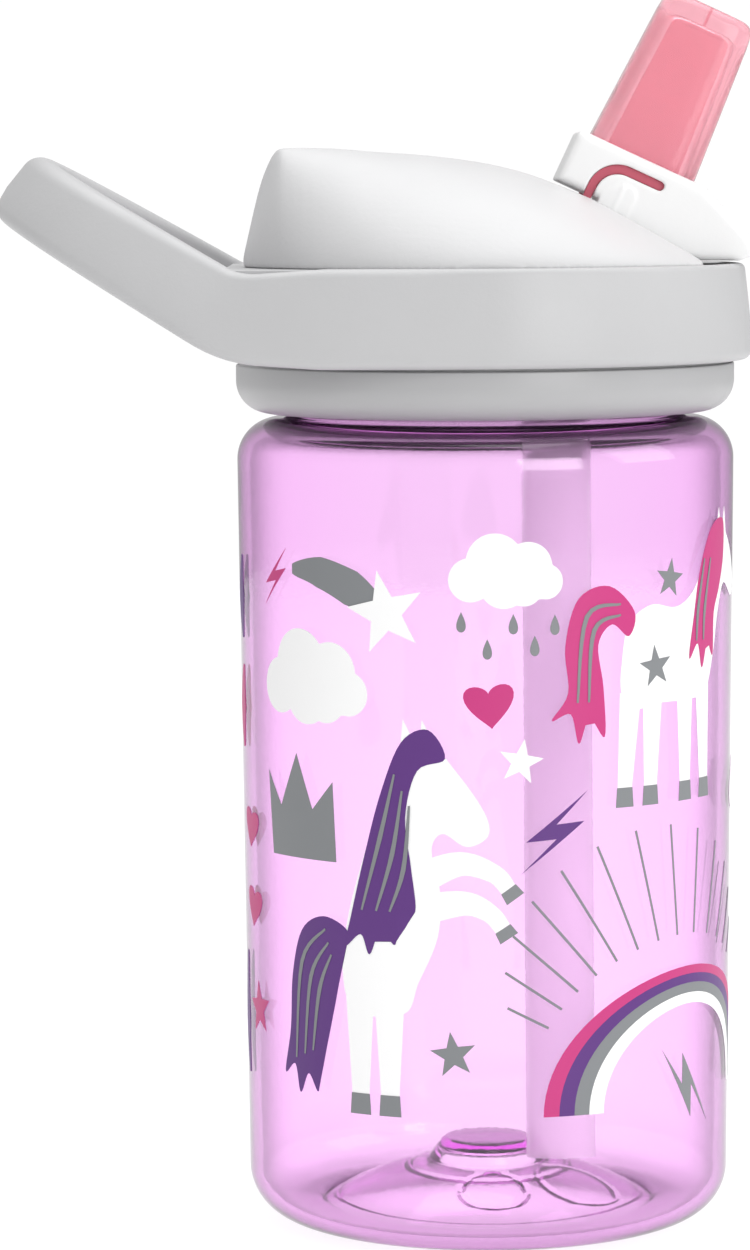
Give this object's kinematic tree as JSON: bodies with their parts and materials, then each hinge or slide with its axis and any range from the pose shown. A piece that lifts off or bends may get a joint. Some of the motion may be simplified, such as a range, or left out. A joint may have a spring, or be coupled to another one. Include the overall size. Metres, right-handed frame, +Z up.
{
  "type": "water bottle",
  "caption": "Kids' clear screw-top water bottle with a fixed carry loop, a flip-up silicone bite valve and a straw.",
  "frame": {"origin": "centre of the object's box in X and Y, at the level of the surface it stands on; the bottle's axis is 15.9 mm towards +X from it", "axes": "+Z up along the bottle's axis; the carry loop reaches towards -X and the open bite valve leans towards +X; the object is narrowest along Y"},
  "size_m": [0.1104, 0.0776, 0.1788],
  "materials": {
    "clear_tinted_plastic": "clear, polished, tinted lilac",
    "straw_plastic": "translucent, smooth",
    "grey_plastic": "satin, moulded, pale grey",
    "white_plastic": "satin, fine stipple on the thumb tab",
    "pink_silicone": "translucent satin silicone",
    "white_silicone": "satin silicone"
  },
  "bodies": {
    "bottle": {"bottle_body": "clear_tinted_plastic"},
    "cap_seal": {"cap_gasket": "white_silicone"},
    "cap": {"screw_cap": "grey_plastic", "carry_band": "grey_plastic", "valve_guard": "grey_plastic", "port_seal": "white_silicone", "vent_valve": "white_silicone", "straw": "straw_plastic"},
    "drink_valve": {"flip_stem": "white_plastic", "bite_valve": "pink_silicone"}
  },
  "joints": [
    {"name": "cap_rise", "type": "slide", "parent": "bottle", "child": "cap_seal", "axis": [0, 0, 1], "range_m": [0, 0.00464]},
    {"name": "cap_turn", "type": "hinge", "parent": "cap_seal", "child": "cap", "pos_m": [0.01595, 0, 0.13], "axis": [0, 0, 1], "range_deg": [0, 370.8]},
    {"name": "valve_flip", "type": "hinge", "parent": "cap", "child": "drink_valve", "pos_m": [0.03374, 0, 0.1439], "axis": [0, 1, 0], "range_deg": [-115, 0]}
  ],
  "couplings": [
    {"joint": "cap_rise", "follows": "cap_turn", "m_per_rad": 0.0007162}
  ]
}
